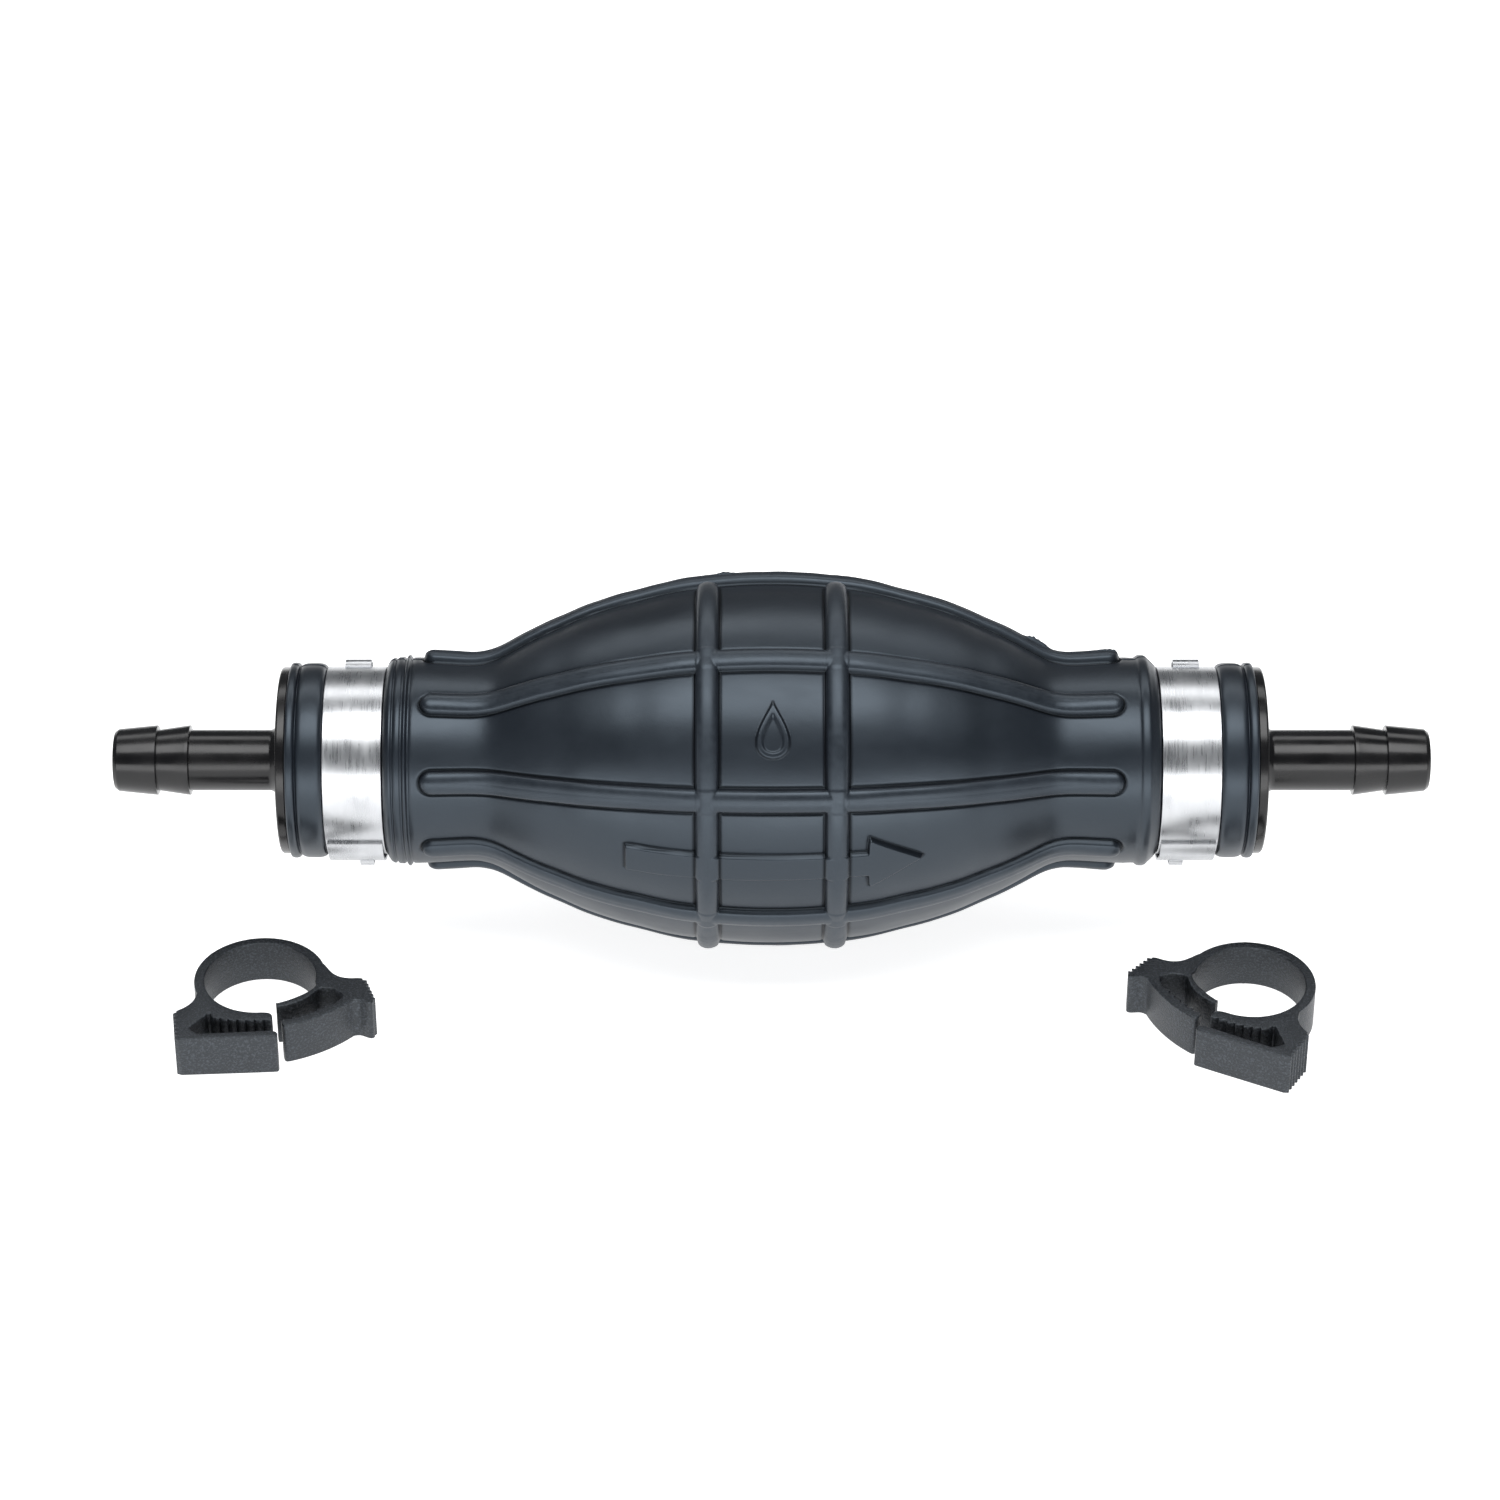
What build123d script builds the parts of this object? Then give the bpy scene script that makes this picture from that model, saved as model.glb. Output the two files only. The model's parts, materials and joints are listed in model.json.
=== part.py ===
from build123d import *
import os
from math import cos, sin, radians

# Hand primer bulb for a 3/8 in fuel or siphon hose, lying on a flat surface with its two
# loose nylon hose clips. +X is the flow direction (inlet at -X, outlet at +X), +Z is up,
# Z = 0 is the surface that the bulb's rings and the clips rest on. Millimetres.

os.makedirs("parts", exist_ok=True)

# ---------------------------------------------------------------- driving dimensions
ring_crest_r = 28.8  # crest of the two rings moulded round the bulb
ring_half_w = 1.82  # half width of a ring's half-round section
ring_x = 9.7  # each ring's distance from the middle
rest_flat = 0.16  # depth of the flat where the soft rings settle on a surface
axis_z = ring_crest_r - rest_flat  # height of the pump's axis
pump_y = 8.485  # the pump's axis, so that the whole set is centred on the origin

rib_count = 8
rib_w = 3.9  # width of a lengthwise rib
rib_h = 1.3  # height of a rib over the panels
rib_len = 106.4  # overall length of a rib, rounded ends included
first_rib = 22.5  # angle of the first rib from straight up
squeeze_cut = 17.0  # the wall higher than this over the axis moves when the bulb is squeezed

# bulb: (distance from the middle, outer radius of the panels), then the inside of the wall
panel = [(0.0, 27.87), (8.0, 27.5), (14.0, 26.8), (20.0, 25.4), (26.3, 23.6), (32.0, 21.25), (37.1, 18.85), (41.0, 16.7), (43.6, 15.68), (46.4, 15.42), (50.2, 15.62), (54.0, 15.8)]
cavity = [(0.0, 24.6), (8.0, 24.25), (14.0, 23.5), (20.0, 22.1), (26.3, 20.2), (32.0, 17.8), (37.1, 15.2), (41.0, 13.0), (45.5, 11.4), (50.0, 11.0)]
neck_bore_r = 11.0  # the neck's bore, tight on the end fitting's spigot
band_seat_r = 13.65  # the neck under its clamp
neck_end = 73.5

# inlet neck: three small beads, then the shoulder down to the clamp seat
inlet_neck = [(54.7, 15.8), (54.9, 15.45), (55.1, 15.9), (55.4, 16.2), (55.7, 15.9), (55.9, 15.5), (56.2, 15.85), (57.0, 15.85), (57.25, 15.45), (57.5, 15.75), (57.8, 15.75), (58.3, 15.45), (58.7, 14.6), (58.9, band_seat_r)]
# outlet neck: one low ridge, then the same shoulder
outlet_neck = [(55.6, 15.75), (55.9, 16.05), (56.5, 16.2), (57.2, 16.05), (57.5, 15.7), (57.9, 15.35), (58.6, 14.6), (58.9, band_seat_r)]
# collar and end lip outside the clamp, the same at both ends
collar = [(67.9, band_seat_r), (67.95, 14.3), (68.3, 14.75), (69.0, 14.95), (71.3, 14.9), (71.8, 14.6), (72.0, 14.2), (72.15, 14.7), (72.4, 15.0), (73.3, 15.0), (73.5, 14.8)]

# end fitting
tip_x = 100.7
hose_bore_r = 3.2
shank_r = 4.68
barb_r = 5.35
barb_land = 0.6
barb_1 = 94.1  # the step of the outer barb
barb_2 = 89.1  # the step of the inner barb
flange_out = 75.0
flange_in = 73.6
flange_r = 14.3
spigot_in = 56.0
chamber_r = 9.0
chamber_end = 72.0

# band clamp
band_t = 0.7
band_in = 58.9
band_out = 67.9

# check valve, along +X from the seat's upstream face
seat_len = 4.0
seat_bore_r = 3.6
seat_lip = 0.4
oring_r = 0.49
washer_t = 1.0
washer_r = 6.2
head_t = 1.4
head_r = 6.4
stem_r = 1.2
stem_len = 6.8
guide_bore_r = 1.25
valve_travel = 2.0
spring_wire_r = 0.2
spring_r = 3.0
valve_gap = 4.0  # from the head's back to the cage's spokes
inlet_seat_x = -72.0
outlet_seat_x = 57.0

# hose clip, in its own plan: ring centre at the origin
clip_h = 7.0
clip_bore_r = 8.45
clip_ring_r = 10.0
block_shift = (1.3, 0.15)
arm_shift = 0.45
flex_a = 105.0  # the ring bends about this point of its wall
flex_half_gap = 0.25
tooth_step = 3.85  # degrees about the flex point
left_clip_at = (-77.6, -26.5)
right_clip_at = (72.4, -27.56)
right_clip_turn = -23.9

# ---------------------------------------------------------------- frames
axial = Plane(origin=(0, pump_y, axis_z), x_dir=(1, 0, 0), z_dir=(0, -1, 0))
pump_axis = Axis((0, pump_y, axis_z), (1, 0, 0))


def both(half):
    """A symmetric run of points from -X to +X."""
    return [(-x, r) for x, r in reversed(half)] + [p for p in half if p[0] > 0]


def across(x):
    """The plane across the pump's axis at x: local x is +Y, local y is +Z."""
    return Plane(origin=(x, pump_y, axis_z), x_dir=(0, 1, 0), z_dir=(1, 0, 0))


# ---------------------------------------------------------------- moulded bulb
with BuildPart() as rib_envelope:
    with BuildSketch(axial):
        with BuildLine():
            top = Spline(*[(x, r + rib_h) for x, r in both(panel)])
            low = Spline(*[(x, r - 1.2) for x, r in both(panel)])
            Line(top @ 0, low @ 0)
            Line(top @ 1, low @ 1)
        make_face()
    revolve(axis=pump_axis)

with BuildPart() as ribs:
    for k in range(rib_count):
        a = radians(90 + first_rib + k * 360 / rib_count)
        with BuildSketch(Plane(origin=(0, pump_y, axis_z), x_dir=(1, 0, 0), z_dir=(0, cos(a), sin(a))).offset(12)):
            SlotOverall(rib_len, rib_w)
        extrude(amount=20)
    add(rib_envelope.part, mode=Mode.INTERSECT)

with BuildPart() as arrow_envelope:
    with BuildSketch(axial):
        with BuildLine():
            top = Spline(*[(x, r + 0.45) for x, r in both(panel)])
            low = Spline(*[(x, r - 1.2) for x, r in both(panel)])
            Line(top @ 0, low @ 0)
            Line(top @ 1, low @ 1)
        make_face()
    revolve(axis=pump_axis)

with BuildPart() as flow_arrow:
    with BuildSketch(axial.offset(16)):
        with BuildLine():
            Polyline((-22.0, -2.0), (14.5, -1.9), (14.5, -4.2), (22.3, 0.0), (14.5, 4.2), (14.5, 1.9), (-22.0, 2.0), close=True)
        make_face()
    extrude(amount=16)
    add(arrow_envelope.part, mode=Mode.INTERSECT)

with BuildPart() as bulb:
    with BuildSketch(axial):
        with BuildLine():
            outside = Spline(*both(panel))
            Polyline(outside @ 1, *outlet_neck, *collar, (neck_end, neck_bore_r), (50.0, neck_bore_r))
            inside = Spline(*[(-x, r) for x, r in both(cavity)])
            Polyline((-50.0, neck_bore_r), (-neck_end, neck_bore_r), *[(-x, r) for x, r in reversed(collar)], *[(-x, r) for x, r in reversed(inlet_neck)], outside @ 0)
        make_face()
    revolve(axis=pump_axis)
    add(ribs.part)
    add(flow_arrow.part)
    with BuildSketch(axial):
        with Locations((-ring_x, ring_crest_r - ring_half_w), (ring_x, ring_crest_r - ring_half_w)):
            Circle(ring_half_w)
    revolve(axis=pump_axis)
    with BuildSketch(Plane.XY.offset(-4)):
        with Locations((0, pump_y)):
            Rectangle(60, 40)
    extrude(amount=4, mode=Mode.SUBTRACT)

squeeze_plane = Plane.XY.offset(axis_z + squeeze_cut)
with BuildPart() as bulb_body:
    add(bulb.part)
    split(bisect_by=squeeze_plane, keep=Keep.BOTTOM)
bulb_body.part.label = "bulb_body"

with BuildPart() as bulb_top_wall:
    add(bulb.part)
    split(bisect_by=squeeze_plane, keep=Keep.TOP)
bulb_top_wall.part.label = "bulb_top_wall"

# ---------------------------------------------------------------- end fittings
fitting = [
    (spigot_in, chamber_r),
    (spigot_in, neck_bore_r),
    (flange_in, neck_bore_r),
    (flange_in, flange_r - 0.1),
    (flange_in + 0.1, flange_r),
    (flange_out - 0.3, flange_r),
    (flange_out, flange_r - 0.3),
    (flange_out, 6.1),
    (flange_out + 0.25, 5.35),
    (flange_out + 0.8, 4.85),
    (flange_out + 1.6, shank_r),
    (barb_2 - 0.1, shank_r),
    (barb_2, barb_r),
    (barb_2 + barb_land, barb_r),
    (barb_1 - 0.1, shank_r),
    (barb_1, barb_r),
    (barb_1 + barb_land, barb_r),
    (tip_x - 0.5, 4.8),
    (tip_x - 0.15, 4.6),
    (tip_x, 4.3),
    (tip_x, hose_bore_r),
    (chamber_end, hose_bore_r),
    (chamber_end, chamber_r),
]

with BuildPart() as inlet_fitting:
    with BuildSketch(axial):
        with BuildLine():
            Polyline(*[(-x, r) for x, r in fitting], close=True)
        make_face()
    revolve(axis=pump_axis)
inlet_fitting.part.label = "inlet_fitting"

with BuildPart() as outlet_fitting:
    with BuildSketch(axial):
        with BuildLine():
            Polyline(*fitting, close=True)
        make_face()
    revolve(axis=pump_axis)
outlet_fitting.part.label = "outlet_fitting"


# ---------------------------------------------------------------- band clamps
def band_clamp(inner, outer, low_x, tab_x, hook_x):
    """A stainless strip closed round the neck: its hoop, the second layer under it and its two small hooks."""
    r = band_seat_r + band_t
    with BuildPart() as strip:
        with BuildSketch(axial):
            with BuildLine():
                Polyline((inner, band_seat_r), (outer, band_seat_r), (outer, r), (inner, r), close=True)
            make_face()
        revolve(axis=pump_axis)
        with BuildSketch(across(low_x)):
            with BuildLine():
                under = CenterArc((0, 0), r - 0.05, 206, 58)
                over = CenterArc((0, 0), r + 0.6, 206, 58)
                Line(under @ 0, over @ 0)
                Line(under @ 1, over @ 1)
            make_face()
        extrude(amount=8.4)
        a = radians(54.9)
        with BuildSketch(Plane(origin=(tab_x, pump_y, axis_z), x_dir=(0, -sin(a), cos(a)), z_dir=(1, 0, 0))):
            with Locations((0, -(r + 0.25))):
                SlotOverall(3.4, 1.7)
        extrude(amount=4.0)
        a = radians(234.9)
        with BuildSketch(Plane(origin=(hook_x, pump_y, axis_z), x_dir=(0, -sin(a), cos(a)), z_dir=(1, 0, 0))):
            with Locations((0, -(r + 0.85))):
                SlotOverall(2.4, 1.1)
        extrude(amount=2.1)
    return strip


inlet_band = band_clamp(-band_out, -band_in, -67.6, -65.2, -63.0)
inlet_band.part.label = "inlet_band"

outlet_band = band_clamp(band_in, band_out, 59.2, 61.6, 60.9)
outlet_band.part.label = "outlet_band"


# ---------------------------------------------------------------- check valves
def turned(points):
    """A solid of revolution about the pump's axis."""
    with BuildPart() as body:
        with BuildSketch(axial):
            with BuildLine():
                Polyline(*points, close=True)
            make_face()
        revolve(axis=pump_axis)
    return body


def seat_profile(x):
    face = x + seat_len
    return [
        (x, seat_bore_r), (x, chamber_r), (x + 1.4, chamber_r), (x + 1.4, chamber_r - 1.0), (x + 2.6, chamber_r - 1.0), (x + 2.6, chamber_r),
        (face, chamber_r), (face, 5.3), (face + seat_lip, 5.0), (face + seat_lip, 4.4), (face, 4.1), (face, seat_bore_r),
    ]


def washer_profile(x):
    face = x + seat_len + seat_lip
    return [(face, 1.6), (face, washer_r), (face + washer_t, washer_r), (face + washer_t, 1.6)]


def poppet_profile(x):
    face = x + seat_len + seat_lip
    back = face + washer_t + head_t
    return [
        (face - 0.9, 0.0), (face - 0.9, 1.5), (face - 0.6, 2.3), (face, 2.3), (face, 1.6), (face + washer_t, 1.6),
        (face + washer_t, head_r), (face + washer_t + 0.8, head_r), (back, 5.4), (back, stem_r), (back + stem_len - 0.3, stem_r), (back + stem_len, stem_r - 0.3), (back + stem_len, 0.0),
    ]


def seat_oring(x):
    with BuildPart() as ring:
        with BuildSketch(axial):
            with Locations((x + 2.0, chamber_r - 0.5)):
                Circle(oring_r)
        revolve(axis=pump_axis)
    return ring


def valve_cage(x):
    """The hub that guides the stem, on three spokes in a ring pressed into the chamber."""
    back = x + seat_len + seat_lip + washer_t + head_t
    spokes = back + valve_gap
    with BuildPart() as cage:
        with BuildSketch(axial):
            with BuildLine():
                Polyline((spokes - 0.8, 7.6), (spokes - 0.8, chamber_r), (spokes + 2.4, chamber_r), (spokes + 2.4, 7.6), close=True)
            make_face()
            with BuildLine():
                Polyline((back + valve_travel + 0.1, guide_bore_r), (back + valve_travel + 0.1, 2.3), (spokes, 2.3), (spokes, 3.6), (spokes + 1.0, 3.6), (spokes + 2.2, 2.4), (spokes + 2.2, guide_bore_r), close=True)
            make_face()
        revolve(axis=pump_axis)
        for k in range(3):
            a = radians(90 + 120 * k)
            with BuildSketch(Plane(origin=(spokes, pump_y, axis_z), x_dir=(0, cos(a), sin(a)), z_dir=(1, 0, 0))):
                with Locations((5.4, 0)):
                    Rectangle(5.4, 1.5)
            extrude(amount=1.8)
    return cage


def valve_spring(x):
    back = x + seat_len + seat_lip + washer_t + head_t
    with BuildPart() as spring:
        with BuildLine() as coil:
            Helix(pitch=0.9, height=valve_gap - 2 * spring_wire_r, radius=spring_r, center=(back + spring_wire_r, pump_y, axis_z), direction=(1, 0, 0))
        with BuildSketch(Plane(origin=coil.line @ 0, z_dir=coil.line % 0)):
            Circle(spring_wire_r * 0.98)
        sweep(path=coil.line, is_frenet=True)
    return spring


inlet_valve_seat = turned(seat_profile(inlet_seat_x))
inlet_valve_seat.part.label = "inlet_valve_seat"
outlet_valve_seat = turned(seat_profile(outlet_seat_x))
outlet_valve_seat.part.label = "outlet_valve_seat"

inlet_seat_oring = seat_oring(inlet_seat_x)
inlet_seat_oring.part.label = "inlet_seat_oring"
outlet_seat_oring = seat_oring(outlet_seat_x)
outlet_seat_oring.part.label = "outlet_seat_oring"

inlet_poppet = turned(poppet_profile(inlet_seat_x))
inlet_poppet.part.label = "inlet_poppet"
outlet_poppet = turned(poppet_profile(outlet_seat_x))
outlet_poppet.part.label = "outlet_poppet"

inlet_valve_washer = turned(washer_profile(inlet_seat_x))
inlet_valve_washer.part.label = "inlet_valve_washer"
outlet_valve_washer = turned(washer_profile(outlet_seat_x))
outlet_valve_washer.part.label = "outlet_valve_washer"

inlet_valve_cage = valve_cage(inlet_seat_x)
inlet_valve_cage.part.label = "inlet_valve_cage"
outlet_valve_cage = valve_cage(outlet_seat_x)
outlet_valve_cage.part.label = "outlet_valve_cage"

inlet_valve_spring = valve_spring(inlet_seat_x)
inlet_valve_spring.part.label = "inlet_valve_spring"
outlet_valve_spring = valve_spring(outlet_seat_x)
outlet_valve_spring.part.label = "outlet_valve_spring"

# ---------------------------------------------------------------- hose clips
flex = (9.2 * cos(radians(flex_a)), 9.2 * sin(radians(flex_a)))


def ring_at(r, a):
    """A point by radius and angle about the ring's centre."""
    return (r * cos(radians(a)), r * sin(radians(a)))


def jaw_at(r, a):
    """A point by radius and angle about the flex point, which the jaws swing on."""
    return (flex[0] + r * cos(radians(a)), flex[1] + r * sin(radians(a)))


def ring_run(r, a, b, n):
    return [ring_at(r, a + (b - a) * k / n) for k in range(n + 1)]


def jaw_run(r, a, b, n):
    return [jaw_at(r, a + (b - a) * k / n) for k in range(n + 1)]


def serrated(p, q, n, depth):
    """n small steps from p to q, standing out to the right of the way."""
    dx, dy = (q[0] - p[0]) / n, (q[1] - p[1]) / n
    long = (dx * dx + dy * dy) ** 0.5
    nx, ny = dy / long * depth, -dx / long * depth
    out = []
    for k in range(n):
        bx, by = p[0] + dx * k, p[1] + dy * k
        out += [(bx, by), (bx + dx * 0.85 + nx, by + dy * 0.85 + ny)]
    return out + [q]


def saw(r_root, r_tip, a, step, n):
    """n ratchet teeth about the flex point, from angle a."""
    out = []
    for k in range(n):
        out += [jaw_at(r_root, a + step * k), jaw_at(r_tip, a + step * (k + 0.12)), jaw_at(r_tip, a + step * (k + 0.3))]
    return out + [jaw_at(r_root, a + step * n)]


def shifted(points, dx, dy):
    return [(x + dx, y + dy) for x, y in points]


d = flex_half_gap / 9.2 * 57.2958

block_outline = (
    ring_run(clip_bore_r, flex_a + d, 275.0, 34)
    + [(1.95, -8.62), (2.5, -8.95)]
    + shifted(
        [jaw_at(19.1, -78.8)]
        + saw(19.35, 19.8, -79.0, -tooth_step, 7)
        + [(-8.0, -9.0), (-8.4, -9.0), (-8.8, -9.5), (-10.95, -12.3), (-9.5, -13.8), (1.3, -13.0), (2.1, -13.3), (2.35, -13.7), (2.2, -14.35)],
        block_shift[0], block_shift[1],
    )
    + serrated((-11.1, -15.0), (-12.0, -8.4), 7, -0.4)
    + [(-11.6, -7.8), (-11.0, -7.4), (-10.3, -6.7), (-9.72, -5.8), (-9.42, -4.8)]
    + ring_run(clip_ring_r, 201.7, flex_a + d, 20)
)

arm_outline = (
    ring_run(clip_bore_r, flex_a - d, -8.0, 26)
    + shifted(
        [(8.1, -1.95), (7.5, -2.95), (6.4, -4.0), (5.0, -4.98), (3.7, -5.72), (2.38, -6.26), jaw_at(16.65, -72.6), jaw_at(16.9, -66.0), jaw_at(16.9, -60.0), (7.2, -4.75), (8.1, -3.5), (8.5, -2.7), (9.2, -2.35), (10.8, -2.6), (12.5, -4.2), (12.1, -5.3)]
        + list(reversed(saw(20.4, 19.97, -72.2, tooth_step, 6)))
        + [jaw_at(20.3, -72.9), jaw_at(21.2, -73.1), jaw_at(21.65, -72.7), jaw_at(21.75, -71.9)]
        + jaw_run(21.75, -70.0, -44.0, 10)
        + [(14.3, -5.4), (15.0, -5.45), (15.7, -5.85), (16.3, -6.2), (16.9, -6.1)],
        arm_shift, 0.0,
    )
    + serrated((17.5, -5.6), (15.7, -0.5), 6, 0.4)
    + [(15.0, 0.05), (13.6, -0.05), (12.3, 0.2), (11.2, 0.9), (10.4, 1.95)]
    + ring_run(clip_ring_r, 16.0, flex_a - d, 18)
)


def placed(outline, turn, at):
    """The left clip's plan moved to its place on the surface."""
    c, s = cos(radians(turn)), sin(radians(turn))
    return [(at[0] + c * x - s * y, pump_y + at[1] + s * x + c * y) for x, y in outline]


def flipped(outline):
    return [(-x, y) for x, y in outline]


def plate(outline):
    """A clip half: its plan, as high as the clip is wide on the hose."""
    with BuildPart() as half:
        with BuildSketch(Plane.XY):
            with BuildLine():
                Polyline(*outline, close=True)
            make_face()
        extrude(amount=clip_h)
    return half


left_clip_block = plate(placed(block_outline, 0, left_clip_at))
left_clip_block.part.label = "left_clip_block"

left_clip_arm = plate(placed(arm_outline, 0, left_clip_at))
left_clip_arm.part.label = "left_clip_arm"

right_clip_block = plate(placed(flipped(block_outline), right_clip_turn, right_clip_at))
right_clip_block.part.label = "right_clip_block"

right_clip_arm = plate(placed(flipped(arm_outline), right_clip_turn, right_clip_at))
right_clip_arm.part.label = "right_clip_arm"

# ---------------------------------------------------------------- files
finished = [
    bulb_body, bulb_top_wall, inlet_fitting, outlet_fitting, inlet_band, outlet_band,
    inlet_valve_seat, outlet_valve_seat, inlet_seat_oring, outlet_seat_oring, inlet_poppet, outlet_poppet,
    inlet_valve_washer, outlet_valve_washer, inlet_valve_cage, outlet_valve_cage, inlet_valve_spring, outlet_valve_spring,
    left_clip_block, left_clip_arm, right_clip_block, right_clip_arm,
]
export_step(bulb_body.part, "parts/bulb_body.step")
export_step(bulb_top_wall.part, "parts/bulb_top_wall.step")
export_step(inlet_fitting.part, "parts/inlet_fitting.step")
export_step(outlet_fitting.part, "parts/outlet_fitting.step")
export_step(inlet_band.part, "parts/inlet_band.step")
export_step(outlet_band.part, "parts/outlet_band.step")
export_step(inlet_valve_seat.part, "parts/inlet_valve_seat.step")
export_step(outlet_valve_seat.part, "parts/outlet_valve_seat.step")
export_step(inlet_seat_oring.part, "parts/inlet_seat_oring.step")
export_step(outlet_seat_oring.part, "parts/outlet_seat_oring.step")
export_step(inlet_poppet.part, "parts/inlet_poppet.step")
export_step(outlet_poppet.part, "parts/outlet_poppet.step")
export_step(inlet_valve_washer.part, "parts/inlet_valve_washer.step")
export_step(outlet_valve_washer.part, "parts/outlet_valve_washer.step")
export_step(inlet_valve_cage.part, "parts/inlet_valve_cage.step")
export_step(outlet_valve_cage.part, "parts/outlet_valve_cage.step")
export_step(inlet_valve_spring.part, "parts/inlet_valve_spring.step")
export_step(outlet_valve_spring.part, "parts/outlet_valve_spring.step")
export_step(left_clip_block.part, "parts/left_clip_block.step")
export_step(left_clip_arm.part, "parts/left_clip_arm.step")
export_step(right_clip_block.part, "parts/right_clip_block.step")
export_step(right_clip_arm.part, "parts/right_clip_arm.step")

lows, highs = [], []
for piece in finished:
    box = piece.part.bounding_box()
    lows.append(box.min)
    highs.append(box.max)
print("low", min(v.X for v in lows), min(v.Y for v in lows), min(v.Z for v in lows))
print("high", max(v.X for v in highs), max(v.Y for v in highs), max(v.Z for v in highs))
print("middle in Y", (min(v.Y for v in lows) + max(v.Y for v in highs)) / 2)
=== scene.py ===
import json
import math

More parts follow.
